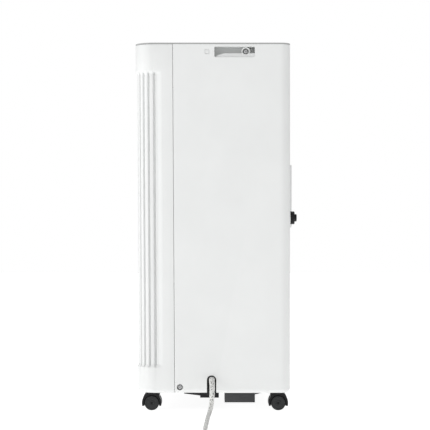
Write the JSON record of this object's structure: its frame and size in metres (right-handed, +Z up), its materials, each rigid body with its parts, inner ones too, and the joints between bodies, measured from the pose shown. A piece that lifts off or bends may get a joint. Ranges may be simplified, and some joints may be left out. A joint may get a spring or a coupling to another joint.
{
  "type": "dehumidifier",
  "caption": "Tall portable dehumidifier cabinet on twin-wheel castors, with a fluted front, top air outlet flap, rear intake grilles and a capped drain.",
  "frame": {"origin": "on the floor, under the middle of the cabinet (without its free cord)", "axes": "+Z up, -Y the fluted control side, +Y the side with the intake grilles, +X the side that the power cord leaves"},
  "size_m": [0.87, 0.314, 0.71],
  "materials": {
    "casing_white": "smooth white moulding with a soft gloss",
    "lid_grey": "satin grey moulding",
    "black_plastic": "fine grained black moulding",
    "dark_plastic": "dark grey moulding",
    "wheel_nylon": "dark grey nylon",
    "panel_black": "gloss black",
    "display_glass": "smoked window",
    "button_grey": "satin dark grey",
    "circuit_board": "green lacquered board",
    "screw_steel": "bright plated steel",
    "filter_net": "dark nylon net in a frame",
    "inner_plastic": "natural white inner moulding",
    "cord_grey": "light grey sheath",
    "plug_grey": "light grey moulded plug with plated pins",
    "black_enamel": "black enamelled steel shell",
    "fin_aluminium": "bare fins",
    "motor_steel": "zinc plated can",
    "copper": "bare copper pipe"
  },
  "bodies": {
    "cabinet": {"front_shell": "casing_white", "rear_shell": "casing_white", "top_lid": "lid_grey", "outlet_grille": "dark_plastic", "flap_motor": "dark_plastic", "control_panel": "panel_black", "display_window": "display_glass", "control_board": "circuit_board", "handle_cup_right": "casing_white", "handle_screw_right": "screw_steel", "side_screw_right": "screw_steel", "handle_cup_left": "casing_white", "handle_screw_left": "screw_steel", "side_screw_left": "screw_steel", "exhaust_plate": "casing_white", "drain_pipe": "inner_plastic", "base_pan": "black_plastic", "sump_box": "dark_plastic", "cord_bracket": "black_plastic", "power_cord": "cord_grey", "cord_coil": "cord_grey", "power_plug": "plug_grey", "compressor": "black_enamel", "condenser": "fin_aluminium", "evaporator": "fin_aluminium", "drip_tray": "inner_plastic", "upper_scroll": "inner_plastic", "upper_fan_motor": "motor_steel", "lower_scroll": "inner_plastic", "lower_fan_motor": "motor_steel", "discharge_pipe": "copper", "suction_pipe": "copper", "capillary_tube": "copper"},
    "front_right_castor": {"front_right_castor_hood": "black_plastic"},
    "front_right_wheel_outer": {"front_right_wheel_outer": "wheel_nylon"},
    "front_right_wheel_inner": {"front_right_wheel_inner": "wheel_nylon"},
    "front_left_castor": {"front_left_castor_hood": "black_plastic"},
    "front_left_wheel_outer": {"front_left_wheel_outer": "wheel_nylon"},
    "front_left_wheel_inner": {"front_left_wheel_inner": "wheel_nylon"},
    "rear_right_castor": {"rear_right_castor_hood": "black_plastic"},
    "rear_right_wheel_outer": {"rear_right_wheel_outer": "wheel_nylon"},
    "rear_right_wheel_inner": {"rear_right_wheel_inner": "wheel_nylon"},
    "rear_left_castor": {"rear_left_castor_hood": "black_plastic"},
    "rear_left_wheel_outer": {"rear_left_wheel_outer": "wheel_nylon"},
    "rear_left_wheel_inner": {"rear_left_wheel_inner": "wheel_nylon"},
    "outlet_flap": {"outlet_flap": "casing_white"},
    "power_button": {"power_button": "button_grey"},
    "mode_button": {"mode_button": "button_grey"},
    "fan_speed_button": {"fan_speed_button": "button_grey"},
    "timer_button": {"timer_button": "button_grey"},
    "humidity_button": {"humidity_button": "button_grey"},
    "upper_intake": {"upper_grille": "casing_white", "upper_filter": "filter_net"},
    "lower_intake": {"lower_grille": "casing_white", "lower_filter": "filter_net"},
    "mid_drain_cap": {"mid_drain_cap": "black_plastic"},
    "bottom_drain_cap": {"bottom_drain_cap": "black_plastic"},
    "upper_impeller": {"upper_impeller": "black_plastic"},
    "lower_impeller": {"lower_impeller": "black_plastic"},
    "float": {"float": "inner_plastic"}
  },
  "joints": [
    {"name": "front_right_castor_swivel", "type": "hinge", "parent": "cabinet", "child": "front_right_castor", "pos_m": [0.13, -0.1188, 0.02], "axis": [0, 0, 1], "continuous": true},
    {"name": "front_right_wheel_outer_spin", "type": "hinge", "parent": "front_right_castor", "child": "front_right_wheel_outer", "pos_m": [0.1404, -0.125, 0.0143], "axis": [1, 0, 0], "continuous": true},
    {"name": "front_right_wheel_inner_spin", "type": "hinge", "parent": "front_right_castor", "child": "front_right_wheel_inner", "pos_m": [0.1196, -0.125, 0.0143], "axis": [1, 0, 0], "continuous": true},
    {"name": "front_left_castor_swivel", "type": "hinge", "parent": "cabinet", "child": "front_left_castor", "pos_m": [-0.13, -0.1188, 0.02], "axis": [0, 0, 1], "continuous": true},
    {"name": "front_left_wheel_outer_spin", "type": "hinge", "parent": "front_left_castor", "child": "front_left_wheel_outer", "pos_m": [-0.1404, -0.125, 0.0143], "axis": [1, 0, 0], "continuous": true},
    {"name": "front_left_wheel_inner_spin", "type": "hinge", "parent": "front_left_castor", "child": "front_left_wheel_inner", "pos_m": [-0.1196, -0.125, 0.0143], "axis": [1, 0, 0], "continuous": true},
    {"name": "rear_right_castor_swivel", "type": "hinge", "parent": "cabinet", "child": "rear_right_castor", "pos_m": [0.13, 0.114, 0.02], "axis": [0, 0, 1], "continuous": true},
    {"name": "rear_right_wheel_outer_spin", "type": "hinge", "parent": "rear_right_castor", "child": "rear_right_wheel_outer", "pos_m": [0.1404, 0.1202, 0.0143], "axis": [1, 0, 0], "continuous": true},
    {"name": "rear_right_wheel_inner_spin", "type": "hinge", "parent": "rear_right_castor", "child": "rear_right_wheel_inner", "pos_m": [0.1196, 0.1202, 0.0143], "axis": [1, 0, 0], "continuous": true},
    {"name": "rear_left_castor_swivel", "type": "hinge", "parent": "cabinet", "child": "rear_left_castor", "pos_m": [-0.13, 0.114, 0.02], "axis": [0, 0, 1], "continuous": true},
    {"name": "rear_left_wheel_outer_spin", "type": "hinge", "parent": "rear_left_castor", "child": "rear_left_wheel_outer", "pos_m": [-0.1404, 0.1202, 0.0143], "axis": [1, 0, 0], "continuous": true},
    {"name": "rear_left_wheel_inner_spin", "type": "hinge", "parent": "rear_left_castor", "child": "rear_left_wheel_inner", "pos_m": [-0.1196, 0.1202, 0.0143], "axis": [1, 0, 0], "continuous": true},
    {"name": "outlet_flap_hinge", "type": "hinge", "parent": "cabinet", "child": "outlet_flap", "pos_m": [0, -0.0664, 0.7042], "axis": [-1, 0, 0], "range_deg": [0, 75]},
    {"name": "power_button_press", "type": "slide", "parent": "cabinet", "child": "power_button", "axis": [0, 0, -1], "range_m": [0, 0.001], "stiffness_N_per_m": 400},
    {"name": "mode_button_press", "type": "slide", "parent": "cabinet", "child": "mode_button", "axis": [0, 0, -1], "range_m": [0, 0.001], "stiffness_N_per_m": 400},
    {"name": "fan_speed_button_press", "type": "slide", "parent": "cabinet", "child": "fan_speed_button", "axis": [0, 0, -1], "range_m": [0, 0.001], "stiffness_N_per_m": 400},
    {"name": "timer_button_press", "type": "slide", "parent": "cabinet", "child": "timer_button", "axis": [0, 0, -1], "range_m": [0, 0.001], "stiffness_N_per_m": 400},
    {"name": "humidity_button_press", "type": "slide", "parent": "cabinet", "child": "humidity_button", "axis": [0, 0, -1], "range_m": [0, 0.001], "stiffness_N_per_m": 400},
    {"name": "upper_grille_hinge", "type": "hinge", "parent": "cabinet", "child": "upper_intake", "pos_m": [0, 0.1414, 0.5095], "axis": [-1, 0, 0], "range_deg": [0, 45]},
    {"name": "lower_grille_hinge", "type": "hinge", "parent": "cabinet", "child": "lower_intake", "pos_m": [0, 0.1414, 0.0765], "axis": [-1, 0, 0], "range_deg": [0, 45]},
    {"name": "mid_drain_cap_pull", "type": "slide", "parent": "cabinet", "child": "mid_drain_cap", "axis": [0, 1, 0], "range_m": [0, 0.02]},
    {"name": "bottom_drain_cap_pull", "type": "slide", "parent": "cabinet", "child": "bottom_drain_cap", "axis": [-1, 0, 0], "range_m": [0, 0.012]},
    {"name": "upper_impeller_spin", "type": "hinge", "parent": "cabinet", "child": "upper_impeller", "pos_m": [0, -0.103, 0.5892], "axis": [0, 1, 0], "continuous": true},
    {"name": "lower_impeller_spin", "type": "hinge", "parent": "cabinet", "child": "lower_impeller", "pos_m": [0.02, 0.045, 0.2105], "axis": [0, 1, 0], "continuous": true},
    {"name": "float_rise", "type": "slide", "parent": "cabinet", "child": "float", "axis": [0, 0, 1], "range_m": [0, 0.008]}
  ]
}
